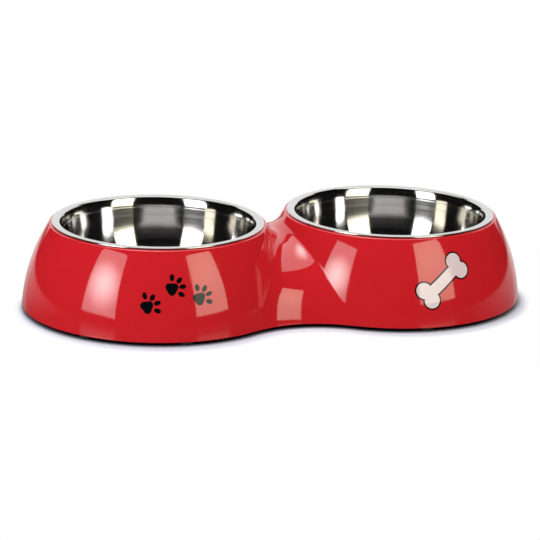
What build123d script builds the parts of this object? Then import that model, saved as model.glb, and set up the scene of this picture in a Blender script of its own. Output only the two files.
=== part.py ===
from build123d import *

import os
from math import asin, cos, degrees, hypot, radians, sin, sqrt

# Double pet bowl: a moulded stand of two round lobes, two lift-out steel bowls and eight push-in feet.
# Millimetres, +Z up. The origin is on the floor midway between the bowls, +X points to the right bowl
# and -Y to the front.

# Steel bowl
rim_radius = 70.0  # outside of the folded rim
sheet = 0.6
hem_fold_gap = 0.1  # inside the rim, which is folded flat on itself
rim_flat_width = 3.8  # flat top of the rim, in to where it bends down
hem_setback = 0.2  # from the bend out to the edge of the folded sheet
rim_bend_radius = 2.0
rim_bend_turn = 65.0  # degrees that the sheet turns in this bend
shoulder_radius = 17.0  # the wall's curve between the bend and its straight part
wall_lean = 7.0  # degrees that the straight part of the wall leans outwards
wall_straight = 8.0
wall_bow_radius = 65.0  # the wall bows inwards below its straight part
corner_radius = 14.0  # between wall and floor
bowl_depth = 42.0

# Moulded stand
seat_margin = 1.35  # stand showing outside the rim
seat_gap = 17.9  # between the two seats, across the neck
lobe_flare = 18.05  # how much wider a lobe is at the bottom edge than at the seat
lobe_bulge_radius = 118.6  # a lobe's wall in section
stand_height = 55.1  # bottom edge to seat
stand_wall = 3.2
lip_thickness = 3.4
opening_step = 0.6  # from the rim's bend in to the edge of the round opening
seat_edge_radius = 1.2
opening_edge_radius = 0.8
neck_hollow_radius = 70.0  # a round hollow that leaves the lobes where the neck's bottom edge does
neck_drop = 2.0  # below the seat, where the neck leaves a lobe
neck_base_fullness = -0.95  # power that fills the neck's hollow at the bottom edge: 1 makes a curve a circle
neck_middle_fullness = 3.7  # the same halfway up
neck_top_fullness = 0.2  # the same at the top
neck_steps = 6  # loft sections across the neck, less one
arch_steps = 24  # points along each section, less one

# Rubber feet
foot_radius = 4.0
foot_height = 2.4
foot_edge_radius = 0.8
foot_edge_margin = 0.9  # from a foot to the stand's outer edge
stem_radius = 2.0
stem_length = 5.0
stem_tip_radius = 0.6
stem_clearance = 0.05
boss_wall = 3.0  # round the stem's hole
boss_floor = 2.0  # over the stem's hole
foot_bearings = {"": 90.0, "_end": 45.0}  # degrees from the long axis, at the bowl's middle and near the end

# One overrun for every cut
overrun = 5.0

# Sizes that follow
sides = {"left": -1, "right": 1}
fronts = {"front": -1, "rear": 1}
hem_height = 2 * sheet + hem_fold_gap
lobe_seat_radius = rim_radius + seat_margin
lobe_base_radius = lobe_seat_radius + lobe_flare
bowl_x = lobe_seat_radius + seat_gap / 2
base_z = foot_height
seat_z = base_z + stand_height
rim_z = seat_z + hem_height
bend_start_radius = rim_radius - rim_flat_width
opening_radius = bend_start_radius - opening_step
stem_hole_radius = stem_radius + stem_clearance
stem_hole_depth = stem_length + stem_clearance
boss_radius = stem_hole_radius + boss_wall
boss_height = stem_hole_depth + boss_floor
foot_circle_radius = lobe_base_radius - foot_edge_margin - foot_radius

# Centre of the arc that a lobe's wall follows, as a radius from the bowl's axis and a height
chord = hypot(lobe_flare, stand_height)
chord_to_centre = sqrt(lobe_bulge_radius**2 - (chord / 2) ** 2)
bulge_r = (lobe_base_radius + lobe_seat_radius) / 2 - chord_to_centre * stand_height / chord
bulge_z = base_z + stand_height / 2 - chord_to_centre * lobe_flare / chord

# Where the neck leaves a lobe: at the bottom edge, as a share of the way across, and at the top
neck_base_share = bowl_x / (lobe_base_radius + neck_hollow_radius)
neck_top_z = seat_z - neck_drop


def wall_radius(z, inset):
    """Radius of a lobe's wall at a height, moved inwards by inset."""
    return bulge_r + sqrt((lobe_bulge_radius - inset) ** 2 - (z - bulge_z) ** 2)


def neck_contact(z, across_share, inset):
    """Point where the neck meets a wall: its distance from the bowl's axis towards the neck, and height."""
    kept_share = 1 - inset / lobe_bulge_radius
    r = bulge_r + (wall_radius(z, 0) - bulge_r) * kept_share
    return r * across_share, bulge_z + (z - bulge_z) * kept_share


def neck_fullness(z):
    """Power that fills the neck's hollow at a height, on a parabola through its three values."""
    share = (z - base_z) / (neck_top_z - base_z)
    base_part = neck_base_fullness * (1 - share) * (1 - 2 * share)
    middle_part = neck_middle_fullness * 4 * share * (1 - share)
    top_part = neck_top_fullness * share * (2 * share - 1)
    return base_part + middle_part + top_part


def neck_point(contact, share):
    """Point of the neck, a share of the way from a contact on the left lobe to its mirror on the right."""
    r = hypot(contact.X + bowl_x, contact.Y)
    slope = (r - bulge_r) / r
    normal = Vector((contact.X + bowl_x) * slope, contact.Y * slope, contact.Z - bulge_z).normalized()
    flank = hypot(normal.Y, normal.Z)
    inwards = Vector(0, -normal.Y, -normal.Z) / flank
    tangents_meet = Vector(0, contact.Y, contact.Z) + inwards * (-contact.X * normal.X / flank)
    mirrored = Vector(-contact.X, contact.Y, contact.Z)
    start_weight = (1 - share) ** 2
    middle_weight = 2 * share * (1 - share) * flank ** neck_fullness(contact.Z)
    end_weight = share**2
    total = start_weight + middle_weight + end_weight
    return (contact * start_weight + tangents_meet * middle_weight + mirrored * end_weight) / total


def stand_form(inset, top_z):
    """Solid of both lobes and the neck, moved inwards by inset, from the bottom edge up to top_z."""
    low_z = base_z - overrun
    high_z = seat_z + overrun
    base_x, base_contact_z = neck_contact(base_z, neck_base_share, inset)
    top_x, top_contact_z = neck_contact(neck_top_z, 1, inset)
    rise = top_contact_z - base_contact_z
    neck_plane = Plane(
        origin=(top_x - bowl_x, 0, top_contact_z),
        x_dir=(0, 1, 0),
        z_dir=(rise, 0, base_x - top_x),
    )

    with BuildPart() as lobe:
        with BuildSketch(section_plane(-bowl_x, 0, 0)):
            with BuildLine():
                wall_points = [(-wall_radius(z, inset), z) for z in (low_z, (low_z + high_z) / 2, high_z)]
                ThreePointArc(*wall_points)
                Polyline(wall_points[2], (0, high_z), (0, low_z), wall_points[0])
            make_face()
        revolve(axis=Axis((-bowl_x, 0, 0), (0, 0, 1)))
        split(bisect_by=neck_plane, keep=Keep.BOTTOM)

    # The neck runs from lobe to lobe in conic curves that leave each wall along its slope
    end_face = lobe.faces().filter_by(neck_plane)[0]
    arch = end_face.edges().sort_by(Axis.Z)[-1]
    arch_shares = [step / arch_steps for step in range(arch_steps + 1)]
    stations = [arch.position_at(share, position_mode=PositionMode.PARAMETER) for share in arch_shares]
    sections = [end_face.outer_wire()]
    for step in range(1, neck_steps):
        points = [neck_point(station, step / neck_steps) for station in stations]
        curve = Edge.make_spline(points, parameters=arch_shares)
        sections.append(Wire([curve, Edge.make_line(curve @ 1, curve @ 0)]))
    sections.append(sections[0].mirror(Plane.YZ))

    with BuildPart() as form:
        add(lobe.part)
        mirror(lobe.part, about=Plane.YZ)
        add(Solid.make_loft(sections))
        split(bisect_by=Plane.XY.offset(base_z), keep=Keep.TOP)
        split(bisect_by=Plane.XY.offset(top_z), keep=Keep.BOTTOM)
    return form.part


def section_plane(x, y, z):
    """Upright plane for a revolved section: its x is the radius and its y the height."""
    return Plane(origin=(x, y, z), x_dir=(1, 0, 0), z_dir=(0, -1, 0))


os.makedirs("parts", exist_ok=True)

foot_places = {}
for side, x_sign in sides.items():
    for front, y_sign in fronts.items():
        for place, bearing in foot_bearings.items():
            foot_x = x_sign * (bowl_x + foot_circle_radius * cos(radians(bearing)))
            foot_y = y_sign * foot_circle_radius * sin(radians(bearing))
            foot_places[f"foot_{side}_{front}{place}"] = (foot_x, foot_y)
foot_tops = [(x, y, base_z) for x, y in foot_places.values()]
upwards = (Align.CENTER, Align.CENTER, Align.MIN)

# Stand: the outer form less a cavity that leaves a boss standing over each foot
outer_form = stand_form(0, seat_z)
inner_form = stand_form(stand_wall, seat_z - lip_thickness)

with BuildPart() as cavity:
    add(inner_form)
    with Locations(*foot_tops):
        Cylinder(boss_radius, boss_height, align=upwards, mode=Mode.SUBTRACT)

with BuildPart() as stand_shell:
    add(outer_form)
    add(cavity.part, mode=Mode.SUBTRACT)
    with Locations(*[(x_sign * bowl_x, 0, seat_z) for x_sign in sides.values()]):
        Hole(opening_radius, depth=lip_thickness + overrun)
    with Locations(*foot_tops):
        Cylinder(stem_hole_radius, stem_hole_depth, align=upwards, mode=Mode.SUBTRACT)
    seats = stand_shell.faces().group_by(Axis.Z)[-1]
    fillet([edge for seat in seats for edge in seat.outer_wire().edges()], seat_edge_radius)
    seats = stand_shell.faces().group_by(Axis.Z)[-1]
    openings = [wire for seat in seats for wire in seat.inner_wires()]
    fillet([edge for opening in openings for edge in opening.edges()], opening_edge_radius)

stand_shell.part.label = "stand_shell"
export_step(stand_shell.part, "parts/stand_shell.step")

# Steel bowls: both faces of the sheet follow arcs about the same centres
lean = radians(wall_lean)
turn = radians(rim_bend_turn)
bend_centre = Vector(bend_start_radius, -rim_bend_radius)
shoulder_centre = bend_centre + Vector(sin(turn), -cos(turn)) * (shoulder_radius - rim_bend_radius)
leaning = Vector(-cos(lean), sin(lean))
down_wall = Vector(-sin(lean), -cos(lean))
bow_centre = shoulder_centre + leaning * (shoulder_radius + wall_bow_radius) + down_wall * wall_straight
corner_tilt = asin((bow_centre.Y - corner_radius + bowl_depth) / (wall_bow_radius - corner_radius))
corner_centre = bow_centre + Vector(cos(corner_tilt), -sin(corner_tilt)) * (wall_bow_radius - corner_radius)
hem_radius = hem_height / 2
hem_edge = bend_start_radius + hem_setback


def sheet_face(depth):
    """Draw one face of the bowl's sheet from its middle to the rim, at a depth into the sheet."""
    tilt = degrees(corner_tilt)
    corner = CenterArc(corner_centre, corner_radius + depth, -90, 90 - tilt)
    bow = CenterArc(bow_centre, wall_bow_radius + depth, -tilt, tilt - wall_lean)
    shoulder_turn = 90 - rim_bend_turn - wall_lean
    shoulder = CenterArc(shoulder_centre, shoulder_radius - depth, 90 + rim_bend_turn, shoulder_turn)
    bend = CenterArc(bend_centre, rim_bend_radius - depth, 90, rim_bend_turn)
    Line((0, (corner @ 0).Y), corner @ 0)
    Line(bow @ 1, shoulder @ 1)
    return bend @ 0


for side, x_sign in sides.items():
    with BuildPart() as bowl:
        with BuildSketch(section_plane(x_sign * bowl_x, 0, rim_z)):
            with BuildLine():
                rim_top = sheet_face(0)
                rim_under = sheet_face(sheet)
                fold = CenterArc((rim_radius - hem_radius, -hem_radius), hem_radius, 90, -180)
                Line(rim_top, fold @ 0)
                Polyline(fold @ 1, (hem_edge, -hem_height), (hem_edge, -sheet), rim_under)
                Line((0, -bowl_depth), (0, -bowl_depth - sheet))
            make_face()
        revolve(axis=Axis((x_sign * bowl_x, 0, 0), (0, 0, 1)))
    bowl.part.label = f"{side}_bowl"
    export_step(bowl.part, f"parts/{side}_bowl.step")

# Rubber feet: a pad under the stand's bottom edge and a stem in its boss
for name, (foot_x, foot_y) in foot_places.items():
    with BuildPart() as foot:
        with BuildSketch(section_plane(foot_x, foot_y, 0)):
            with BuildLine():
                FilletPolyline(
                    (0, 0),
                    (foot_radius, 0),
                    (foot_radius, foot_height),
                    (stem_radius, foot_height),
                    (stem_radius, foot_height + stem_length),
                    (0, foot_height + stem_length),
                    radius=[0, foot_edge_radius, 0, 0, stem_tip_radius, 0],
                    close=True,
                )
            make_face()
        revolve(axis=Axis((foot_x, foot_y, 0), (0, 0, 1)))
    foot.part.label = name
    export_step(foot.part, f"parts/{name}.step")
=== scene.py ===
"""Double pet bowl: the looks of a glossy moulded stand with two lift-out steel bowls and rubber feet."""

import logging
import math
from collections.abc import Iterable, Mapping, Sequence
from dataclasses import dataclass
from enum import Enum
from typing import Any

import bmesh
import bpy
from mathutils import Matrix, Vector


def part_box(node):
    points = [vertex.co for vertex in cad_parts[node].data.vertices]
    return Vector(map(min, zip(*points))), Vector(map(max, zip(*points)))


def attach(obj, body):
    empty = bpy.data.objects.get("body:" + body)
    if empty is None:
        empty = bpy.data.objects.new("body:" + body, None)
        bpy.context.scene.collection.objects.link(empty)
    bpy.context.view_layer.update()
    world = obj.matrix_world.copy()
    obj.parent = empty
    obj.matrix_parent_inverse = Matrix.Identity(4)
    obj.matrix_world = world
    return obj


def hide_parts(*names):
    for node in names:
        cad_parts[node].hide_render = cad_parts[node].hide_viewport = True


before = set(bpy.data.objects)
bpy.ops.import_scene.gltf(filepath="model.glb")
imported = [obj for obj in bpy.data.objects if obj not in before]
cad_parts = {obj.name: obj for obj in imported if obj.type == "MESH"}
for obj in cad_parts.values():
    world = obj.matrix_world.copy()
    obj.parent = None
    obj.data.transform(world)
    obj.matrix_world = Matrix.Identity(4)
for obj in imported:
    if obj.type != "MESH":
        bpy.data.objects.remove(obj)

log = logging.getLogger("double_pet_bowl")

Colour = tuple[float, float, float]
Place = tuple[float, float, float]
Pair = tuple[float, float]
Section = list[tuple[float, float]]

MM = 0.001
FULL_TURN = 2 * math.pi
WHITE = (1.0, 1.0, 1.0, 1.0)
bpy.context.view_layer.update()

# Vertices this close are merged, and heights or halves this close count as the same
MERGE_DISTANCE = 0.0005 * MM
SAME_PLACE = 0.001 * MM


class Side(Enum):
    """The two ends of the stand, by the sign of their X."""

    LEFT = -1
    RIGHT = 1

    @property
    def word(self) -> str:
        """Name of this end in node and body names."""
        return self.name.lower()


class Slot(Enum):
    """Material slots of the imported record."""

    MELAMINE = "red_melamine"
    STEEL = "brushed_steel"
    RUBBER = "foot_rubber"


# Shader graphs


@dataclass(frozen=True)
class Noise:
    """A noise pattern: its cycles a metre, its octaves and how strong the finer ones are."""

    scale: float
    detail: float = 2.0
    roughness: float = 0.5


class Wire:
    """A shader socket that takes part in Python arithmetic on plain values."""

    def __init__(self, graph: "Graph", socket: bpy.types.NodeSocket) -> None:
        """Keep the graph and the socket that this wire comes from."""
        self.graph = graph
        self.socket = socket

    def __add__(self, other: Any) -> "Wire":
        """Sum of two values."""
        return self.graph.math("ADD", self, other)

    def __sub__(self, other: Any) -> "Wire":
        """Difference of two values."""
        return self.graph.math("SUBTRACT", self, other)

    def __rsub__(self, other: Any) -> "Wire":
        """Difference with a number on the left."""
        return self.graph.math("SUBTRACT", other, self)

    def __mul__(self, other: Any) -> "Wire":
        """Product of two values."""
        return self.graph.math("MULTIPLY", self, other)

    def __truediv__(self, other: Any) -> "Wire":
        """Quotient of two values."""
        return self.graph.math("DIVIDE", self, other)


class Graph:
    """The node tree of one material, light or world."""

    # Sockets of a Mix node that blends colours
    MIX_FACTOR = 0
    MIX_FIRST = 6
    MIX_SECOND = 7
    MIX_RESULT = 2

    def __init__(self, tree: bpy.types.NodeTree) -> None:
        """Start from an empty tree."""
        self.tree = tree
        tree.nodes.clear()

    def make(
        self, kind: str, settings: Mapping[str, Any], inputs: Mapping[str | int, Any]
    ) -> bpy.types.Node:
        """Add a node.

        Args:
            kind: Blender's name for the node type, without its ShaderNode prefix.
            settings: properties to set first.
            inputs: values or wires of the node's sockets, by name or number.

        Returns:
            The new node.
        """
        node = self.tree.nodes.new("ShaderNode" + kind)
        for name, value in settings.items():
            setattr(node, name, value)
        for name, value in inputs.items():
            if isinstance(value, Wire):
                self.tree.links.new(value.socket, node.inputs[name])
            else:
                node.inputs[name].default_value = value
        return node

    def wire(
        self,
        kind: str,
        settings: Mapping[str, Any],
        inputs: Mapping[str | int, Any],
        output: str | int = 0,
    ) -> Wire:
        """Add a node as make does and return one of its outputs."""
        return Wire(self, self.make(kind, settings, inputs).outputs[output])

    def math(self, operation: str, first: Any, second: Any = 0.0) -> Wire:
        """Add a Math node on two values."""
        return self.wire("Math", {"operation": operation}, {0: first, 1: second})

    def mix(self, factor: Wire, first: Colour, second: Colour) -> Wire:
        """Blend two colours by a factor."""
        inputs = {self.MIX_FACTOR: factor, self.MIX_FIRST: (*first, 1.0), self.MIX_SECOND: (*second, 1.0)}
        return self.wire("Mix", {"data_type": "RGBA"}, inputs, self.MIX_RESULT)

    def steps(self, value: Wire, low: float, high: float) -> Wire:
        """Smooth step from 0 at low to 1 at high."""
        inputs = {"Value": value, "From Min": low, "From Max": high}
        return self.wire("MapRange", {"interpolation_type": "SMOOTHSTEP"}, inputs)

    def noise(self, vector: Wire, pattern: Noise) -> Wire:
        """Value of a noise pattern at a place."""
        inputs = {"Scale": pattern.scale, "Detail": pattern.detail, "Roughness": pattern.roughness}
        return self.wire("TexNoise", {}, {"Vector": vector, **inputs})

    def place(self, centre: Sequence[float] = (0.0, 0.0, 0.0)) -> Wire:
        """Object coordinates, counted from a centre."""
        coordinates = self.wire("TexCoord", {}, {}, "Object")
        return self.wire("Mapping", {}, {"Vector": coordinates, "Location": [-value for value in centre]})

    def parts(self, vector: Wire) -> tuple[Wire, Wire, Wire]:
        """The X, Y and Z of a vector."""
        node = self.make("SeparateXYZ", {}, {0: vector})
        return Wire(self, node.outputs[0]), Wire(self, node.outputs[1]), Wire(self, node.outputs[2])

    def length(self, first: Wire, second: Wire) -> Wire:
        """Length of a flat vector."""
        return self.math("SQRT", first * first + second * second)

    def bump(self, height: Wire) -> Wire:
        """Normal of a surface raised by a height in metres."""
        return self.wire("Bump", {}, {"Height": height, "Distance": 1.0, "Strength": 1.0})

    def principled(self, inputs: Mapping[str, Any]) -> None:
        """End the graph in a Principled shader."""
        shader = self.wire("BsdfPrincipled", {}, inputs)
        self.make("OutputMaterial", {}, {"Surface": shader})


def new_material(name: str) -> tuple[bpy.types.Material, Graph]:
    """Make a material with an empty node tree.

    Args:
        name: name of the material.

    Returns:
        The material and its graph.
    """
    material = bpy.data.materials.new(name)
    material.use_nodes = True
    return material, Graph(material.node_tree)


# Finishes


@dataclass(frozen=True)
class GlossyMelamine:
    """Moulded melamine: one deep colour under a hard, slightly wavy gloss."""

    name: str = "red_melamine_gloss"
    colour: Colour = (0.580, 0.0145, 0.0210)
    deep_colour: Colour = (0.550, 0.0130, 0.0195)
    cloud: Noise = Noise(14.0, 3.0)
    cloud_share: float = 0.7
    grain: Noise = Noise(1500.0, 1.0)
    index: float = 1.68
    roughness: float = 0.045
    smudge: Noise = Noise(55.0, 4.0, 0.6)
    smudge_range: Pair = (0.45, 0.75)
    smudge_roughness: float = 0.05
    wave: Noise = Noise(34.0, 1.0, 0.4)
    wave_height: float = 0.10 * MM

    def gloss(self, graph: Graph, place: Wire) -> dict[str, Wire]:
        """Shader inputs of the smudged, slightly wavy gloss.

        Args:
            graph: the material's graph.
            place: where each point of the surface is.

        Returns:
            The roughness and the normal, by socket name.
        """
        smudge = graph.steps(graph.noise(place, self.smudge), *self.smudge_range)
        wave = graph.noise(place, self.wave)
        return {
            "Roughness": smudge * self.smudge_roughness + self.roughness,
            "Normal": graph.bump(wave * self.wave_height),
        }

    def material(self) -> bpy.types.Material:
        """Build the material.

        Returns:
            The new material.
        """
        material, graph = new_material(self.name)
        place = graph.place()
        cloud = graph.noise(place, self.cloud)
        grain = graph.noise(place, self.grain)
        tone = cloud * self.cloud_share + grain * (1 - self.cloud_share)
        graph.principled({
            "Base Color": graph.mix(tone, self.colour, self.deep_colour),
            "IOR": self.index,
            **self.gloss(graph, place),
        })
        return material


@dataclass(frozen=True)
class BrushedSteel:
    """Bright stainless sheet, spun and finely brushed round the bowl's axis."""

    name: str
    centre: Place
    colour: Colour = (0.68, 0.67, 0.66)
    dull_colour: Colour = (0.60, 0.59, 0.58)
    cloud: Noise = Noise(60.0, 3.0)
    cloud_share: float = 0.3
    band: Noise = Noise(371.43, 3.0)
    streak_range: Pair = (0.3, 0.75)
    streak_share: float = 0.6
    roughness: float = 0.09
    streak_roughness: float = 0.04
    anisotropy: float = 0.94
    brush_turn: float = 0.25
    line: Noise = Noise(2600.0)
    line_height: float = 0.0022 * MM
    along_share: float = 0.012
    pressed_depth: float = 7.2 * MM
    pressed_half_width: float = 0.45 * MM
    pressed_height: float = 0.014 * MM
    pressed_roughness: float = 0.16

    def material(self) -> bpy.types.Material:
        """Build the material.

        Returns:
            The new material.
        """
        material, graph = new_material(self.name)
        place = graph.place(self.centre)
        x, y, z = graph.parts(place)
        across = graph.length(x, y) + z
        ring = graph.wire("CombineXYZ", {}, {0: across, 1: x * self.along_share, 2: y * self.along_share})
        streak = graph.steps(graph.noise(ring, self.band), *self.streak_range)
        dull = streak * self.streak_share + graph.noise(place, self.cloud) * self.cloud_share
        # A line that the press leaves where the shoulder meets the wall
        from_line = graph.math("ABSOLUTE", z + self.pressed_depth)
        pressed = graph.steps(from_line, self.pressed_half_width, 0.0)
        rough = streak * self.streak_roughness + pressed * self.pressed_roughness + self.roughness
        height = graph.noise(ring, self.line) * self.line_height + pressed * self.pressed_height
        graph.principled({
            "Base Color": graph.mix(dull, self.colour, self.dull_colour),
            "Metallic": 1.0,
            "Roughness": rough,
            "Anisotropic": self.anisotropy,
            "Anisotropic Rotation": self.brush_turn,
            "Normal": graph.bump(height),
        })
        return material


@dataclass(frozen=True)
class FootRubber:
    """Matt moulded rubber."""

    name: str = "foot_rubber_matt"
    colour: Colour = (0.012, 0.011, 0.011)
    worn_colour: Colour = (0.045, 0.041, 0.038)
    wear: Noise = Noise(700.0, 4.0, 0.65)
    wear_range: Pair = (0.5, 0.8)
    roughness: float = 0.5
    worn_roughness: float = 0.2
    grain: Noise = Noise(2600.0)
    grain_height: float = 0.04 * MM

    def material(self) -> bpy.types.Material:
        """Build the material.

        Returns:
            The new material.
        """
        material, graph = new_material(self.name)
        place = graph.place()
        worn = graph.steps(graph.noise(place, self.wear), *self.wear_range)
        graph.principled({
            "Base Color": graph.mix(worn, self.colour, self.worn_colour),
            "Roughness": worn * self.worn_roughness + self.roughness,
            "Normal": graph.bump(graph.noise(place, self.grain) * self.grain_height),
        })
        return material


@dataclass(frozen=True)
class GlazedInk:
    """A printed colour under a gloss like the stand's."""

    name: str
    colour: Colour
    faded_colour: Colour
    index: float = GlossyMelamine.index
    fading: Noise = Noise(45.0, 3.0)
    glaze: GlossyMelamine = GlossyMelamine()

    def material(self) -> bpy.types.Material:
        """Build the material.

        Returns:
            The new material.
        """
        material, graph = new_material(self.name)
        place = graph.place()
        graph.principled({
            "Base Color": graph.mix(graph.noise(place, self.fading), self.colour, self.faded_colour),
            "IOR": self.index,
            **self.glaze.gloss(graph, place),
        })
        return material


# Mesh helpers


def arc(centre: Sequence[float], radius: float, start: float, end: float, steps: int) -> Section:
    """Points along a round stretch of a section.

    Args:
        centre: radius and height of the arc's centre.
        radius: radius of the arc.
        start: first angle in degrees, counted from outwards towards up.
        end: last angle in degrees.
        steps: number of spans between the points.

    Returns:
        Radius and height of each point.
    """
    angles = [math.radians(start + (end - start) * step / steps) for step in range(steps + 1)]
    return [(centre[0] + radius * math.cos(a), centre[1] + radius * math.sin(a)) for a in angles]


def spin(bm: bmesh.types.BMesh, points: Iterable[Vector], centre: Vector, steps: int) -> None:
    """Turn an open section once round an upright axis.

    Args:
        bm: mesh to add to.
        points: the section's points, in order.
        centre: a point of the axis.
        steps: faces round the axis.
    """
    verts = [bm.verts.new(point) for point in points]
    line = verts + [bm.edges.new(pair) for pair in zip(verts, verts[1:])]
    bmesh.ops.spin(bm, geom=line, cent=centre, axis=(0, 0, 1), angle=FULL_TURN, steps=steps, use_merge=True)


def disc(bm: bmesh.types.BMesh, radius: float, steps: int) -> list[bmesh.types.BMVert]:
    """Add a flat round face and return its vertices."""
    return bmesh.ops.create_circle(bm, cap_ends=True, segments=steps, radius=radius)["verts"]


def everything(bm: bmesh.types.BMesh) -> list[Any]:
    """All vertices, edges and faces of a mesh."""
    return bm.verts[:] + bm.edges[:] + bm.faces[:]


def merge(bm: bmesh.types.BMesh) -> None:
    """Merge vertices that share a place."""
    bmesh.ops.remove_doubles(bm, verts=bm.verts, dist=MERGE_DISTANCE)


def border_edges(bm: bmesh.types.BMesh, z: float) -> list[bmesh.types.BMEdge]:
    """Open edges of a mesh that lie at a height."""
    borders = [edge for edge in bm.edges if edge.is_boundary]
    return [edge for edge in borders if all(abs(vert.co.z - z) < SAME_PLACE for vert in edge.verts)]


def extrude_border(
    bm: bmesh.types.BMesh, edges: list[bmesh.types.BMEdge]
) -> tuple[list[bmesh.types.BMEdge], dict[bmesh.types.BMVert, bmesh.types.BMVert]]:
    """Grow a row of faces, still without width, from an open border.

    Args:
        bm: the mesh.
        edges: edges of the border.

    Returns:
        The new border's edges, and the old vertex behind each of its vertices.
    """
    grown = bmesh.ops.extrude_edge_only(bm, edges=edges)["geom"]
    new_edges = [item for item in grown if isinstance(item, bmesh.types.BMEdge)]
    new_verts = {item for item in grown if isinstance(item, bmesh.types.BMVert)}
    sources = {}
    for vert in new_verts:
        others = (edge.other_vert(vert) for edge in vert.link_edges)
        sources[vert] = next(other for other in others if other not in new_verts)
    return new_edges, sources


def to_object(
    bm: bmesh.types.BMesh, name: str, material: bpy.types.Material, crease: float = 35.0
) -> bpy.types.Object:
    """Turn a bmesh into a smooth-shaded object at the origin.

    Args:
        bm: the finished mesh, which is freed.
        name: name of the piece.
        material: its finish.
        crease: angle in degrees above which an edge stays sharp.

    Returns:
        The new object, linked to the scene.
    """
    mesh = bpy.data.meshes.new(name)
    bm.to_mesh(mesh)
    bm.free()
    mesh.shade_smooth()
    mesh.set_sharp_from_angle(angle=math.radians(crease))
    mesh.materials.append(material)
    piece = bpy.data.objects.new(name, mesh)
    bpy.context.scene.collection.objects.link(piece)
    return piece


def settle(piece: bpy.types.Object, body: str, replaced: Sequence[str] = ()) -> None:
    """Tie a piece to its body and the nodes that it stands for.

    Args:
        piece: the piece.
        body: the body that it rides on.
        replaced: the CAD nodes that it hides.
    """
    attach(piece, body)
    if replaced:
        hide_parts(*replaced)
    log.info("%s: %d faces on %s", piece.name, len(piece.data.polygons), body)


# Stand


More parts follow.
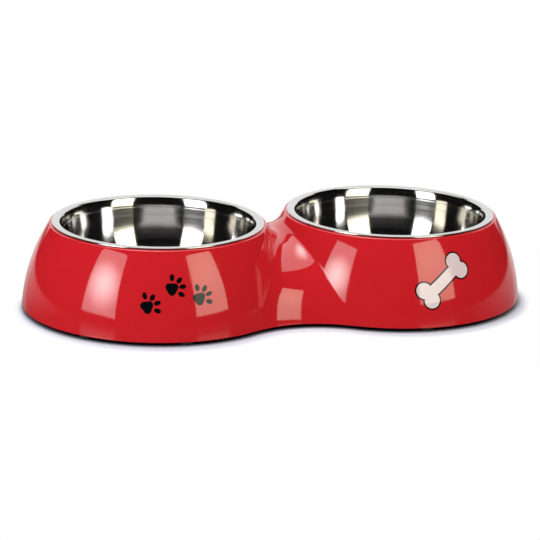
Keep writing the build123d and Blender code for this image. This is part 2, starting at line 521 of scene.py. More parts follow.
@dataclass
class Stand:
    """The moulded shell: two round lobes with a hollow neck between them, open underneath."""

    bowl_x: float
    base_z: float
    seat_z: float
    base_radius: float
    feet: list[Vector]
    body: str = "stand"
    seat_radius: float = 71.35 * MM
    bulge_radius: float = 118.6 * MM
    wall: float = 3.2 * MM
    lip: float = 3.4 * MM
    opening_radius: float = 65.6 * MM
    opening_edge: float = 0.8 * MM
    opening_steps: int = 5
    seat_edge: float = 1.2 * MM
    seat_steps: int = 6
    base_edge: float = 0.7 * MM
    base_steps: int = 5
    neck_hollow: float = 70.0 * MM
    neck_drop: float = 2.0 * MM
    neck_base_fullness: float = -0.95
    neck_middle_fullness: float = 3.7
    neck_top_fullness: float = 0.2
    boss_radius: float = 3.9 * MM
    boss_setback: float = 0.05 * MM
    boss_height: float = 7.05 * MM
    boss_steps: int = 28
    stem_hole: float = 2.05 * MM
    stem_depth: float = 5.05 * MM
    search_depth: float = 10.0 * MM
    halvings: int = 50
    turn_slack: float = 0.001
    outer_rows: int = 30
    inner_rows: int = 14
    lobe_steps: int = 260
    neck_columns: int = 45
    neck_steps: int = 24

    def __post_init__(self) -> None:
        """Find the centre of the arc that a lobe's wall follows."""
        flare = self.base_radius - self.seat_radius
        height = self.seat_z - self.base_z
        chord = math.hypot(flare, height)
        reach = math.sqrt(self.bulge_radius**2 - (chord / 2) ** 2)
        self.bulge_r = (self.base_radius + self.seat_radius) / 2 - reach * height / chord
        self.bulge_z = self.base_z + height / 2 - reach * flare / chord

    def wall_radius(self, z: float, inset: float = 0.0) -> float:
        """Radius of a lobe's wall at a height, moved inwards by inset."""
        return self.bulge_r + math.sqrt((self.bulge_radius - inset) ** 2 - (z - self.bulge_z) ** 2)

    def neck_contact(self, z: float, across_share: float, inset: float) -> Pair:
        """Point where the neck meets a wall, in the upright plane through the bowl's axis.

        Args:
            z: height of the point on the outer wall.
            across_share: cosine of its bearing from the neck.
            inset: how far the wall is moved inwards, along its own slope.

        Returns:
            Distance from the bowl's axis towards the neck, and height.
        """
        kept_share = 1 - inset / self.bulge_radius
        r = self.bulge_r + (self.wall_radius(z) - self.bulge_r) * kept_share
        return r * across_share, self.bulge_z + (z - self.bulge_z) * kept_share

    def contact_height(self, bearing: float, inset: float) -> float:
        """Height at which the neck leaves the wall, at a bearing from the neck.

        Args:
            bearing: angle round the bowl's axis in radians, 0 towards the neck.
            inset: how far the wall is moved inwards.

        Returns:
            The height, found by halving.
        """
        across_share = self.bowl_x / (self.base_radius + self.neck_hollow)
        base_reach, base_z = self.neck_contact(self.base_z, across_share, inset)
        top_reach, top_z = self.neck_contact(self.seat_z - self.neck_drop, 1.0, inset)
        slope = (top_reach - base_reach) / (top_z - base_z)
        low, high = base_z - self.search_depth, top_z
        for _ in range(self.halvings):
            middle = (low + high) / 2
            if self.wall_radius(middle, inset) * math.cos(bearing) > base_reach + (middle - base_z) * slope:
                low = middle
            else:
                high = middle
        return (low + high) / 2

    def neck_fullness(self, z: float) -> float:
        """Power that fills the neck's hollow at a height.

        Args:
            z: height of the point where the neck leaves a lobe.

        Returns:
            The power, on a parabola through its three values; 1 makes the curve a circle.
        """
        share = (z - self.base_z) / (self.seat_z - self.neck_drop - self.base_z)
        base_part = self.neck_base_fullness * (1 - share) * (1 - 2 * share)
        middle_part = self.neck_middle_fullness * 4 * share * (1 - share)
        top_part = self.neck_top_fullness * share * (2 * share - 1)
        return base_part + middle_part + top_part

    def neck_point(self, contact: Vector, share: float) -> Vector:
        """Point of the neck on the conic curve from the left lobe to the right one.

        Args:
            contact: where the curve leaves the left lobe.
            share: share of the way across, from 0 to 1.

        Returns:
            The point.
        """
        r = math.hypot(contact.x + self.bowl_x, contact.y)
        slope = (r - self.bulge_r) / r
        outwards = ((contact.x + self.bowl_x) * slope, contact.y * slope, contact.z - self.bulge_z)
        normal = Vector(outwards).normalized()
        flank = math.hypot(normal.y, normal.z)
        inwards = Vector((0.0, -normal.y, -normal.z)) / flank
        meeting = Vector((0.0, contact.y, contact.z)) + inwards * (-contact.x * normal.x / flank)
        mirrored = Vector((-contact.x, contact.y, contact.z))
        start_weight = (1 - share) ** 2
        middle_weight = 2 * share * (1 - share) * flank ** self.neck_fullness(contact.z)
        end_weight = share**2
        total = contact * start_weight + meeting * middle_weight + mirrored * end_weight
        return total / (start_weight + middle_weight + end_weight)

    def faces_neck(self, place: Vector, neck_turn: float, top: Pair) -> bool:
        """Whether a point of the left lobe's wall is on the neck's side and below the wall's top.

        Args:
            place: the point.
            neck_turn: half the angle that the neck takes up round the bowl's axis.
            top: radius and height of the wall's top.

        Returns:
            Whether it is.
        """
        across = place.x + self.bowl_x
        on_side = abs(math.atan2(place.y, across)) < neck_turn + self.turn_slack
        return on_side and place.z < top[1] and math.hypot(across, place.y) > top[0]

    def skin(self, top: Section, inset: float, rows: int, cut_z: float) -> bmesh.types.BMesh:
        """Build one skin of the shell, outer or inner, as an open sheet.

        Args:
            top: section of the lip from the opening out to the wall, as radius and height.
            inset: how far the wall is moved inwards.
            rows: rows of faces down the wall.
            cut_z: height of the skin's lower border.

        Returns:
            The new mesh.
        """
        bm = bmesh.new()
        neck_turn = FULL_TURN * self.neck_columns / self.lobe_steps
        wall_top = top[-1][1]
        span = wall_top - self.contact_height(neck_turn, inset)
        heights = [wall_top - span * row / rows for row in range(1, rows + 1)]
        section = top + [(self.wall_radius(z, inset), z) for z in heights]
        axis_place = Vector((-self.bowl_x, 0.0, 0.0))
        spin(bm, [axis_place + Vector((-r, 0.0, z)) for r, z in section], axis_place, self.lobe_steps)

        # On the neck's side the wall ends where the neck leaves it
        for vert in bm.verts:
            if self.faces_neck(vert.co, neck_turn, top[-1]):
                bearing = math.atan2(vert.co.y, vert.co.x + self.bowl_x)
                share = (wall_top - vert.co.z) / span
                z = wall_top - share * (wall_top - self.contact_height(bearing, inset))
                r = self.wall_radius(z, inset)
                vert.co = axis_place + Vector((r * math.cos(bearing), r * math.sin(bearing), z))

        # The neck grows from that edge in steps, and the right half mirrors the left
        edges = [
            edge for edge in bm.edges
            if edge.is_boundary and all(self.faces_neck(vert.co, neck_turn, top[-1]) for vert in edge.verts)
        ]
        contacts = {vert: vert.co.copy() for edge in edges for vert in edge.verts}
        for step in range(1, self.neck_steps + 1):
            edges, sources = extrude_border(bm, edges)
            contacts = {vert: contacts[source] for vert, source in sources.items()}
            for vert, contact in contacts.items():
                vert.co = self.neck_point(contact, step / (2 * self.neck_steps))
        bmesh.ops.mirror(bm, geom=everything(bm), axis="X", merge_dist=SAME_PLACE)
        merge(bm)
        cut = (0, 0, cut_z)
        bmesh.ops.bisect_plane(bm, geom=everything(bm), plane_co=cut, plane_no=(0, 0, -1), clear_outer=True)
        merge(bm)
        bmesh.ops.recalc_face_normals(bm, faces=bm.faces)
        return bm

    def outer_top(self) -> Section:
        """Section of the lip's upper side: opening, rounded edge, seat and rounded outer edge.

        Returns:
            Radius and height of each point.
        """
        opening_place = (self.opening_radius + self.opening_edge, self.seat_z - self.opening_edge)
        opening = arc(opening_place, self.opening_edge, 180, 90, self.opening_steps)
        # The seat's outer edge is an arc that touches the seat and, from inside, the wall's arc
        edge_z = self.seat_z - self.seat_edge
        edge_reach = math.sqrt((self.bulge_radius - self.seat_edge) ** 2 - (edge_z - self.bulge_z) ** 2)
        edge_place = (self.bulge_r + edge_reach, edge_z)
        lean = math.degrees(math.atan2(edge_z - self.bulge_z, edge_reach))
        return opening + arc(edge_place, self.seat_edge, 90, lean, self.seat_steps)

    def inner_top(self) -> Section:
        """Section of the lip's underside, from the opening out to the inner wall."""
        under_z = self.seat_z - self.lip
        return [(self.opening_radius, under_z), (self.wall_radius(under_z, self.wall), under_z)]

    def round_base(self, bm: bmesh.types.BMesh, border_z: float) -> None:
        """Roll the outer skin's lower border in to the bottom edge.

        Args:
            bm: outer skin, cut at border_z.
            border_z: height of its lower border.
        """
        bm.normal_update()
        edges = border_edges(bm, border_z)
        starts = {}
        for vert in {vert for edge in edges for vert in edge.verts}:
            outwards = Vector((vert.normal.x, vert.normal.y, 0.0)).normalized()
            starts[vert] = (vert.co.copy(), outwards)
        for step in range(1, self.base_steps + 1):
            angle = math.radians(90 * step / self.base_steps)
            edges, sources = extrude_border(bm, edges)
            starts = {vert: starts[source] for vert, source in sources.items()}
            for vert, (start, outwards) in starts.items():
                inwards = outwards * (-self.base_edge * (1 - math.cos(angle)))
                vert.co = start + inwards + Vector((0.0, 0.0, -self.base_edge * math.sin(angle)))

    def add_bosses(self, bm: bmesh.types.BMesh) -> None:
        """Stand a boss with a blind hole over each foot.

        Args:
            bm: the shell's mesh.
        """
        foot_z = self.base_z + self.boss_setback
        hole_z = self.base_z + self.stem_depth
        top_z = self.base_z + self.boss_height
        hole = [(0.0, hole_z), (self.stem_hole, hole_z), (self.stem_hole, foot_z)]
        section = hole + [(self.boss_radius, foot_z), (self.boss_radius, top_z), (0.0, top_z)]
        for foot in self.feet:
            spin(bm, [foot + Vector((r, 0.0, z)) for r, z in section], foot, self.boss_steps)
        merge(bm)

    def build(self, finish: GlossyMelamine) -> None:
        """Model the piece that stands for the CAD shell and dress it.

        Args:
            finish: the melamine's finish.
        """
        border_z = self.base_z + self.base_edge
        bm = self.skin(self.outer_top(), 0.0, self.outer_rows, border_z)
        self.round_base(bm, border_z)
        inner = self.skin(self.inner_top(), self.wall, self.inner_rows, self.base_z)
        spare = bpy.data.meshes.new("inner_skin")
        inner.to_mesh(spare)
        inner.free()
        bm.from_mesh(spare)
        bpy.data.meshes.remove(spare)
        ring = border_edges(bm, self.base_z)
        bmesh.ops.triangle_fill(bm, use_beauty=True, use_dissolve=False, edges=ring, normal=(0, 0, -1))
        for side in Side:
            rims = [edge for edge in bm.edges if edge.is_boundary and edge.verts[0].co.z > self.base_z]
            opening = [edge for edge in rims if edge.verts[0].co.x * side.value > 0]
            bmesh.ops.bridge_loops(bm, edges=opening)
        bmesh.ops.recalc_face_normals(bm, faces=bm.faces)
        self.add_bosses(bm)
        bmesh.ops.recalc_face_normals(bm, faces=bm.faces)
        piece = to_object(bm, "stand_moulding", finish.material())
        settle(piece, self.body, ["stand_shell"])

    def on_wall(
        self, side: Side, bearing: float, height: float, along: float, up: float, lift: float
    ) -> Vector:
        """Point on a lobe's wall.

        Args:
            side: which lobe.
            bearing: bearing of the print's middle in degrees, counted from +X.
            height: height of the print's middle.
            along: distance to the right of that middle.
            up: distance up the wall from that middle.
            lift: distance out from the wall.

        Returns:
            The point.
        """
        tilt = math.asin((height - self.bulge_z) / self.bulge_radius) + up / self.bulge_radius
        r = self.bulge_r + (self.bulge_radius + lift) * math.cos(tilt)
        z = self.bulge_z + (self.bulge_radius + lift) * math.sin(tilt)
        turn = math.radians(bearing) + along / r
        return Vector((side.value * self.bowl_x + r * math.cos(turn), r * math.sin(turn), z))


# Prints


@dataclass
class Print:
    """A flat printed shape laid on the wall of a lobe."""

    stand: Stand
    name: str
    side: Side
    bearing: float
    height: float
    finish: GlazedInk
    lift: float = 0.05 * MM
    cell: float = 2.0 * MM

    def draw(self) -> bmesh.types.BMesh:
        """Draw the shape flat, with Y up; each kind of print has its own way."""
        raise NotImplementedError

    def build(self) -> None:
        """Draw the shape, cut it into small cells and lay them on the wall."""
        bm = self.draw()
        bmesh.ops.triangulate(bm, faces=bm.faces)
        for axis in (Vector((1, 0, 0)), Vector((0, 1, 0))):
            reach = max(abs(vert.co.dot(axis)) for vert in bm.verts)
            count = int(reach / self.cell)
            for step in range(-count, count + 1):
                cut = axis * (step * self.cell)
                bmesh.ops.bisect_plane(bm, geom=everything(bm), plane_co=cut, plane_no=axis)
        merge(bm)
        middle = (self.side, self.bearing, self.height)
        for vert in bm.verts:
            vert.co = self.stand.on_wall(*middle, vert.co.x, vert.co.y, self.lift)
        bmesh.ops.recalc_face_normals(bm, faces=bm.faces)
        bm.faces.ensure_lookup_table()
        first = bm.faces[0]
        axis_place = Vector((self.side.value * self.stand.bowl_x, 0.0, 0.0))
        if first.normal.dot(first.calc_center_median() - axis_place) < 0:
            bmesh.ops.reverse_faces(bm, faces=bm.faces)
        piece = to_object(bm, self.name, self.finish.material())
        settle(piece, self.stand.body)


@dataclass
class PawTrail(Print):
    """A trail of paw prints, each one pad and four toes."""

    pad_radius: float = 3.9 * MM
    pad_corners: int = 3
    pad_corner_share: float = 0.13
    pad_steps: int = 48
    toe_radius: float = 1.75 * MM
    toe_stretch: Pair = (1.3, 0.85)
    toe_bearings: tuple[float, ...] = (150.0, 109.0, 71.0, 30.0)
    toe_reach: float = 7.0 * MM
    toe_steps: int = 28
    # Distance along and up the wall, and turn in degrees, of each print
    tracks: tuple[tuple[float, float, float], ...] = (
        (-17.0 * MM, -6.0 * MM, -50.0),
        (-1.0 * MM, 5.5 * MM, -62.0),
        (16.5 * MM, -1.5 * MM, -50.0),
    )

    def draw(self) -> bmesh.types.BMesh:
        """Draw the trail flat.

        Returns:
            The shape, in its own plane.
        """
        bm = bmesh.new()
        stretch = Matrix.Diagonal((*self.toe_stretch, 1, 1))
        for along, up, turn in self.tracks:
            place = Matrix.Translation((along, up, 0)) @ Matrix.Rotation(math.radians(turn), 4, "Z")
            pad = disc(bm, self.pad_radius, self.pad_steps)
            for vert in pad:
                angle = math.atan2(vert.co.y, vert.co.x) - math.pi / 2
                vert.co *= 1 + self.pad_corner_share * math.cos(self.pad_corners * angle)
            bmesh.ops.transform(bm, matrix=place, verts=pad)
            for bearing in self.toe_bearings:
                aim = Matrix.Rotation(math.radians(bearing), 4, "Z")
                shape = aim @ Matrix.Translation((self.toe_reach, 0, 0)) @ stretch
                toe = disc(bm, self.toe_radius, self.toe_steps)
                bmesh.ops.transform(bm, matrix=place @ shape, verts=toe)
        return bm


@dataclass
class Bone(Print):
    """A bone: a straight shaft with two round knobs at each end."""

    half_length: float = 14.5 * MM
    knob_offset: float = 4.1 * MM
    knob_radius: float = 5.2 * MM
    knob_steps: int = 30
    shaft_half: float = 3.7 * MM
    margin: float = 0.0
    turn: float = 38.0

    def draw(self) -> bmesh.types.BMesh:
        """Draw the bone flat, grown by its margin.

        Returns:
            The shape, in its own plane.
        """
        knob = self.knob_radius + self.margin
        shaft = self.shaft_half + self.margin
        start = 180 + math.degrees(math.asin((self.knob_offset - shaft) / knob))
        end = -math.degrees(math.asin(self.knob_offset / knob))
        upper = arc((self.half_length, self.knob_offset), knob, start, end, self.knob_steps)
        lower = [(x, -y) for x, y in reversed(upper)]
        right = upper + lower[1:]
        outline = right + [(-x, -y) for x, y in right]
        bm = bmesh.new()
        bm.faces.new([bm.verts.new((x, y, 0)) for x, y in reversed(outline)])
        turn = Matrix.Rotation(math.radians(self.turn), 3, "Z")
        bmesh.ops.rotate(bm, verts=bm.verts, cent=(0, 0, 0), matrix=turn)
        return bm


# Steel bowls


@dataclass
class SteelBowl:
    """A spun steel bowl with a folded rim, which lifts out of its seat."""

    side: Side
    centre_x: float
    rim_radius: float
    rim_z: float
    depth: float
    sheet: float = 0.6 * MM
    fold_gap: float = 0.1 * MM
    fold_steps: int = 10
    rim_flat: float = 3.8 * MM
    hem_setback: float = 0.2 * MM
    bend_radius: float = 2.0 * MM
    bend_turn: float = 65.0
    bend_steps: int = 10
    shoulder_radius: float = 17.0 * MM
    shoulder_steps: int = 10
    wall_lean: float = 7.0
    wall_straight: float = 8.0 * MM
    bow_radius: float = 65.0 * MM
    bow_steps: int = 12
    corner_radius: float = 14.0 * MM
    corner_steps: int = 14
    steps: int = 224

    def face(self, depth: float) -> Section:
        """Section of one face of the sheet from the bowl's middle out to the rim's bend.

        Args:
            depth: how far into the sheet the face lies.

        Returns:
            Radius and height of each point.
        """
        lean = math.radians(self.wall_lean)
        turn = math.radians(self.bend_turn)
        bend = Vector((self.rim_radius - self.rim_flat, self.rim_z - self.bend_radius))
        from_bend = Vector((math.sin(turn), -math.cos(turn)))
        shoulder = bend + from_bend * (self.shoulder_radius - self.bend_radius)
        inwards = Vector((-math.cos(lean), math.sin(lean)))
        down_wall = Vector((-math.sin(lean), -math.cos(lean)))
        bow = shoulder + inwards * (self.shoulder_radius + self.bow_radius) + down_wall * self.wall_straight
        inset = self.bow_radius - self.corner_radius
        tilt = math.asin((bow.y - self.rim_z - self.corner_radius + self.depth) / inset)
        corner = bow + Vector((math.cos(tilt), -math.sin(tilt))) * inset
        wall_end = -math.degrees(tilt)
        bend_start = 90 + self.bend_turn
        middle = (0.0, corner.y - self.corner_radius - depth)
        corner_line = arc(corner, self.corner_radius + depth, -90, wall_end, self.corner_steps)
        bow_line = arc(bow, self.bow_radius + depth, wall_end, -self.wall_lean, self.bow_steps)
        shoulder_span = (180 - self.wall_lean, bend_start)
        shoulder_line = arc(shoulder, self.shoulder_radius - depth, *shoulder_span, self.shoulder_steps)
        bend_line = arc(bend, self.bend_radius - depth, bend_start, 90, self.bend_steps)
        return [middle] + corner_line + bow_line[1:] + shoulder_line + bend_line[1:]

    def build(self) -> bpy.types.Object:
        """Model the bowl and dress it.

        Returns:
            The piece, which stands for the CAD bowl.
        """
        hem = 2 * self.sheet + self.fold_gap
        hem_edge = self.rim_radius - self.rim_flat + self.hem_setback
        fold = arc((self.rim_radius - hem / 2, self.rim_z - hem / 2), hem / 2, 90, -90, self.fold_steps)
        tucked = [(hem_edge, self.rim_z - hem), (hem_edge, self.rim_z - self.sheet)]
        section = self.face(0.0) + fold + tucked + list(reversed(self.face(self.sheet)))
        centre = Vector((self.centre_x, 0.0, 0.0))
        bm = bmesh.new()
        spin(bm, [centre + Vector((0.0, r, z)) for r, z in section], centre, self.steps)
        merge(bm)
        bmesh.ops.recalc_face_normals(bm, faces=bm.faces)
        word = self.side.word
        finish = BrushedSteel(f"brushed_steel_{word}", (self.centre_x, 0.0, self.rim_z))
        piece = to_object(bm, f"{word}_steel_bowl", finish.material())
        settle(piece, f"{word}_bowl", [f"{word}_bowl"])
        return piece


# Studio


def bearing_place(bearing: float, distance: float, z: float) -> Place:
    """Point at a bearing in degrees, counted from the front towards the right, and a distance."""
    angle = math.radians(bearing)
    return distance * math.sin(angle), -distance * math.cos(angle), z


@dataclass(frozen=True)
class Softbox:
    """A rectangular light that faces a point, with a brighter patch in its cloth."""

    name: str
    place: Place
    aim: Place
    width: float
    height: float
    radiance: float
    colour: Colour = (1.0, 1.0, 1.0)
    patch_gain: float = 1.0
    patch_middle: Pair = (0.5, 0.5)
    patch_radius: float = 0.3

    def build(self) -> None:
        """Place the light and shade it across its cloth."""
        light = bpy.data.lights.new(self.name, "AREA")
        light.shape = "RECTANGLE"
        light.size = self.width
        light.size_y = self.height
        light.color = self.colour
        light.energy = self.radiance * math.pi * self.width * self.height
        light.use_nodes = True
        graph = Graph(light.node_tree)
        u, v, _ = graph.parts(graph.wire("NewGeometry", {}, {}, "Parametric"))
        across = (u - self.patch_middle[0]) * self.width
        up = (v - self.patch_middle[1]) * self.height
        patch = graph.steps(graph.length(across, up), self.patch_radius, 0.0)
        glow = graph.wire("Emission", {}, {"Strength": patch * (self.patch_gain - 1.0) + 1.0})
        graph.make("OutputLight", {}, {"Surface": glow})
        lamp = bpy.data.objects.new(self.name, light)
        lamp.location = self.place
        facing = Vector(self.aim) - Vector(self.place)
        lamp.rotation_euler = facing.to_track_quat("-Z", "Y").to_euler()
        bpy.context.scene.collection.objects.link(lamp)


@dataclass
class Studio:
    """White table and backdrop, softboxes and the camera."""

    stand: Stand
    focal_pixels: float = 2246.74
    image_pixels: float = 540.0
    sensor: float = 36.0
    clip_end: float = 50.0
    eye: Place = (-398.67 * MM, -1396.15 * MM, 434.99 * MM)
    right: Place = (0.9637, -0.2656, 0.0256)
    down: Place = (-0.0492, -0.2713, -0.9612)
    back_bearing: float = 164.0
    back_half_width: float = 33.0
    back_top: float = 38.0
    back_spread: float = 0.7
    spread_start: float = 0.2
    edge_blur: float = 0.02
    fill: float = 0.31
    shade: float = 0.006
    floor_radius: float = 6.0
    floor_steps: int = 96
    shadow_shift: float = 6.0 * MM
    shadow_reach: float = 7.0 * MM
    lit_colour: Colour = (0.76, 0.82, 0.93)
    # Painted shade: the table is dark right under the stand, fading out across these distances from its
    # edge
    under_stand_shade_colour: Colour = (0.010, 0.012, 0.025)
    under_stand_shade_edges: Pair = (-4.5 * MM, 4.0 * MM)
    bounce_colour: Colour = (0.75, 0.75, 0.75)
    table_edge: Pair = (350.0 * MM, 700.0 * MM)
    table_level: float = 0.27
    table_gain: float = 0.68
    table_least: float = 0.03
    # Painted shade: the table's glow in gloss is dimmed under the stand, across these distances from its
    # edge
    mirrored_shade_level: float = 0.15
    mirrored_shade_edges: Pair = (-9.0 * MM, -3.0 * MM)
    sheen_colour: Colour = (0.18, 0.18, 0.18)
    sheen_roughness: float = 0.12
    top_light: str = "top_softbox"
    steel_light: str = "top_softbox_on_steel"

    def camera(self) -> None:
        """Make the camera at the photograph's viewpoint."""
        data = bpy.data.cameras.new("camera")
        data.sensor_width = self.sensor
        data.lens = self.focal_pixels / self.image_pixels * self.sensor
        data.clip_end = self.clip_end
        eye = bpy.data.objects.new("camera", data)
        x_axis = Vector(self.right).normalized()
        z_axis = x_axis.cross(-Vector(self.down)).normalized()
        y_axis = z_axis.cross(x_axis)
        turn = Matrix((x_axis, y_axis, z_axis)).transposed()
        eye.matrix_world = Matrix.Translation(self.eye) @ turn.to_4x4()
        bpy.context.scene.collection.objects.link(eye)
        bpy.context.scene.camera = eye

    def ahead(self, graph: Graph, x: Wire, y: Wire) -> Wire:
        """Cosine of the angle, seen from above, between a direction and the middle of the backdrop."""
        angle = math.radians(self.back_bearing)
        return (x * math.sin(angle) - y * math.cos(angle)) / graph.length(x, y)

    def footprint(self, graph: Graph, x: Wire, y: Wire) -> Wire:
        """Distance on the floor from the stand's bottom edge, negative underneath.

        Args:
            graph: the floor's node tree.
            x: place along the stand.
            y: place across it.

        Returns:
            The distance, with the neck's edges taken as round.
        """
        stand = self.stand
        share = stand.bowl_x / (stand.base_radius + stand.neck_hollow)
        half = stand.bowl_x - stand.base_radius * share
        side_y = stand.base_radius * math.sqrt(1 - share**2)
        middle_y = -stand.neck_point(Vector((-half, -side_y, stand.base_z)), 0.5).y
        dip = side_y - middle_y
        radius = (half**2 + dip**2) / (2 * dip)
        across = graph.math("ABSOLUTE", x)
        lobe = graph.length(across - stand.bowl_x, y) - stand.base_radius
        from_centre = graph.math("MINIMUM", graph.math("ABSOLUTE", y) - (middle_y + radius), 0.0)
        neck = radius - graph.length(x, from_centre)
        return lobe + (neck - lobe) * graph.math("LESS_THAN", across, half)

    def table_seen(self, graph: Graph, x: Wire, y: Wire, from_edge: Wire) -> Wire:
        """The table as the camera sees it: white, with the object's shadow close round its foot and painted
        shade right under the stand.

        Args:
            graph: the floor's node tree.
            x: place along the stand.
            y: place across it.
            from_edge: distance from the stand's bottom edge.

        Returns:
            The shader.
        """
        # Painted shade: a dark colour on the table under the stand, blending to the lit colour past its
        # edge
        unshaded_share = graph.steps(from_edge, *self.under_stand_shade_edges)
        table_colour = graph.mix(unshaded_share, self.under_stand_shade_colour, self.lit_colour)
        lit = graph.wire("BsdfDiffuse", {}, {"Color": table_colour})
        white = graph.wire("Emission", {}, {"Color": WHITE, "Strength": 1.0})
        moved_edge = self.footprint(graph, x, y + self.shadow_shift)
        shadow_end = graph.steps(moved_edge, 0.0, self.shadow_reach)
        return graph.wire("MixShader", {}, {0: shadow_end, 1: lit, 2: white})

    def table_mirrored(self, graph: Graph, x: Wire, y: Wire, from_edge: Wire) -> Wire:
        """The table as gloss mirrors it: a painted glow, brighter towards the backdrop, only as far as its
        edge, and dimmed by painted shade under the stand.

        Args:
            graph: the floor's node tree.
            x: place along the stand.
            y: place across it.
            from_edge: distance from the stand's bottom edge.

        Returns:
            The shader.
        """
        # Painted glow: emission in place of the lit table, brighter towards the backdrop
        level = self.ahead(graph, x, y) * self.table_gain + self.table_level
        level = graph.math("MAXIMUM", level, self.table_least)
        level = level * graph.steps(graph.length(x, y), self.table_edge[1], self.table_edge[0])
        # Painted shade: the glow drops right under the stand
        mirrored_unshaded_share = graph.steps(from_edge, *self.mirrored_shade_edges)
        level = level * (mirrored_unshaded_share * (1 - self.mirrored_shade_level) + self.mirrored_shade_level)
        glow = graph.wire("Emission", {}, {"Color": WHITE, "Strength": level})
        gloss = {"Color": (*self.sheen_colour, 1.0), "Roughness": self.sheen_roughness}
        sheen = graph.wire("BsdfGlossy", {}, gloss)
        return graph.wire("AddShader", {}, {0: glow, 1: sheen})

    def floor(self) -> None:
        """Make the table, which looks one way to the camera, another to gloss and bounces light."""
        bm = bmesh.new()
        disc(bm, self.floor_radius, self.floor_steps)
        material, graph = new_material("white_table")
        x, y, _ = graph.parts(graph.place())
        from_edge = self.footprint(graph, x, y)
        near = self.table_seen(graph, x, y, from_edge)
        glimpse = self.table_mirrored(graph, x, y, from_edge)
        bounce = graph.wire("BsdfDiffuse", {}, {"Color": (*self.bounce_colour, 1.0)})
        path = graph.make("LightPath", {}, {})
        seen = Wire(graph, path.outputs["Is Camera Ray"])
        glossy = Wire(graph, path.outputs["Is Glossy Ray"])
        mirrored = graph.math("MAXIMUM", glossy, Wire(graph, path.outputs["Is Transmission Ray"]))
        unseen = graph.wire("MixShader", {}, {0: mirrored, 1: bounce, 2: glimpse})
        surface = graph.wire("MixShader", {}, {0: seen, 1: unseen, 2: near})
        graph.make("OutputMaterial", {}, {"Surface": surface})
        floor = to_object(bm, "table", material)

    def world(self) -> None:
        """Light the room: a white backdrop behind the object, dark walls elsewhere and a soft fill."""
        world = bpy.data.worlds.new("studio")
        bpy.context.scene.world = world
        world.use_nodes = True
        graph = Graph(world.node_tree)
        x, y, z = graph.parts(graph.wire("TexCoord", {}, {}, "Generated"))
        edge = math.cos(math.radians(self.back_half_width))
        wider = graph.math("MAXIMUM", z - self.spread_start, 0.0) * self.back_spread
        inside = graph.steps(self.ahead(graph, x, y) + wider, edge - self.edge_blur, edge + self.edge_blur)
        top = math.sin(math.radians(self.back_top))
        below = graph.steps(z, top + self.edge_blur, top - self.edge_blur)
        path = graph.make("LightPath", {}, {})
        level = inside * below * (1 - self.shade) + self.shade
        level = graph.math("MAXIMUM", level, Wire(graph, path.outputs["Is Camera Ray"]))
        level = graph.math("MAXIMUM", level, Wire(graph, path.outputs["Is Diffuse Ray"]) * self.fill)
        backdrop = graph.wire("Background", {}, {"Color": WHITE, "Strength": level})
        graph.make("OutputWorld", {}, {"Surface": backdrop})

    def lights(self) -> None:
        """Hang the softboxes: one on each side and two in one place overhead."""
        top = {"place": (0.03, 0.33, 1.0), "aim": (0.03, 0.33, 0.0), "width": 1.1, "height": 1.1}
        softboxes = (
            Softbox(
                "left_softbox", place=bearing_place(bearing=-63.5, distance=0.9, z=0.42),
                aim=(0.0, 0.0, 0.42), width=0.44, height=0.72, radiance=2.3,
                patch_gain=4.2, patch_middle=(0.5, 0.40), patch_radius=0.30,
            ),
            Softbox(
                "right_softbox", place=bearing_place(bearing=29.3, distance=0.9, z=0.49),
                aim=(0.0, 0.0, 0.49), width=0.48, height=0.78, radiance=2.6, colour=(1.0, 0.96, 0.77),
                patch_gain=1.3, patch_middle=(0.5, 0.6), patch_radius=0.45,
            ),
            Softbox(
                self.top_light, **top, radiance=1.75,
                patch_gain=4.8, patch_middle=(0.38, 0.40), patch_radius=0.34,
            ),
            Softbox(self.steel_light, **top, radiance=1.3),
        )
        for softbox in softboxes:
            softbox.build()

    def dim_steel(self, bowls: Sequence[bpy.types.Object]) -> None:
        """Keep the top light off the steel bowls, which mirror a dimmer one in its place.

        Args:
            bowls: the steel bowls.
        """
        meshes = [item for item in bpy.context.scene.objects if item.type == "MESH"]
        others = [item for item in meshes if item not in bowls]
        for light, pieces in ((self.top_light, others), (self.steel_light, bowls)):
            receivers = bpy.data.collections.new(f"{light}_receivers")
            for piece in pieces:
                receivers.objects.link(piece)
            bpy.data.objects[light].light_linking.receiver_collection = receivers

    def build(self) -> None:
        """Set up the camera, the table, the room and the lights."""
        bpy.context.scene.view_settings.view_transform = "Standard"
        self.camera()
        self.floor()
        self.world()
        self.lights()


# The whole object


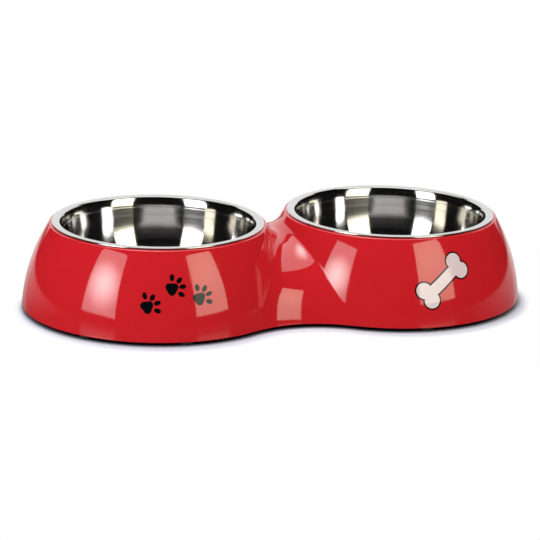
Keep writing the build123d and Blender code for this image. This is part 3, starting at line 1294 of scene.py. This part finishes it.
def node_middle(node: str) -> Vector:
    """Middle of a CAD node's box, on the floor."""
    low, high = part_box(node)
    return Vector(((low.x + high.x) / 2, (low.y + high.y) / 2, 0.0))


def print_fronts(stand: Stand) -> None:
    """Lay the prints on the front of the lobes.

    Args:
        stand: the stand that they are printed on.
    """
    black = GlazedInk("black_ink", (0.0012, 0.0020, 0.0026), (0.0030, 0.0040, 0.0044), index=1.43)
    pale = GlazedInk("pale_pink_ink", (0.78, 0.68, 0.70), (0.70, 0.55, 0.57))
    trail_place = {"side": Side.LEFT, "bearing": -95.7, "height": 30.7 * MM}
    bone_place = {"side": Side.RIGHT, "bearing": -83.0, "height": 32.0 * MM}
    PawTrail(stand, "paw_trail_print", **trail_place, finish=black).build()
    Bone(stand, "bone_edge_print", **bone_place, finish=black, margin=1.0 * MM).build()
    Bone(stand, "bone_print", **bone_place, finish=pale, lift=0.09 * MM).build()


def dress_feet(feet: Sequence[str]) -> None:
    """Give the CAD feet their rubber.

    Args:
        feet: names of their nodes.
    """
    rubber = FootRubber().material()
    for name in feet:
        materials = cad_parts[name].data.materials
        materials.clear()
        materials.append(rubber)
        log.info("%s: dressed in rubber", name)


def main() -> None:
    logging.basicConfig(level=logging.INFO)
    feet = [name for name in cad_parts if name.startswith("foot_")]
    shell_low, shell_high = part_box("stand_shell")
    bowl_low, bowl_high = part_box("right_bowl")
    stand = Stand(
        bowl_x=(bowl_low.x + bowl_high.x) / 2,
        base_z=shell_low.z,
        seat_z=shell_high.z,
        base_radius=(shell_high.y - shell_low.y) / 2,
        feet=[node_middle(name) for name in feet],
    )
    studio = Studio(stand)
    studio.build()
    stand.build(GlossyMelamine())
    bowls = [
        SteelBowl(
            side=side,
            centre_x=side.value * stand.bowl_x,
            rim_radius=(bowl_high.x - bowl_low.x) / 2,
            rim_z=bowl_high.z,
            depth=bowl_high.z - bowl_low.z - SteelBowl.sheet,
        ).build()
        for side in Side
    ]
    print_fronts(stand)
    dress_feet(feet)
    studio.dim_steel(bowls)


if __name__ == "__main__":
    main()
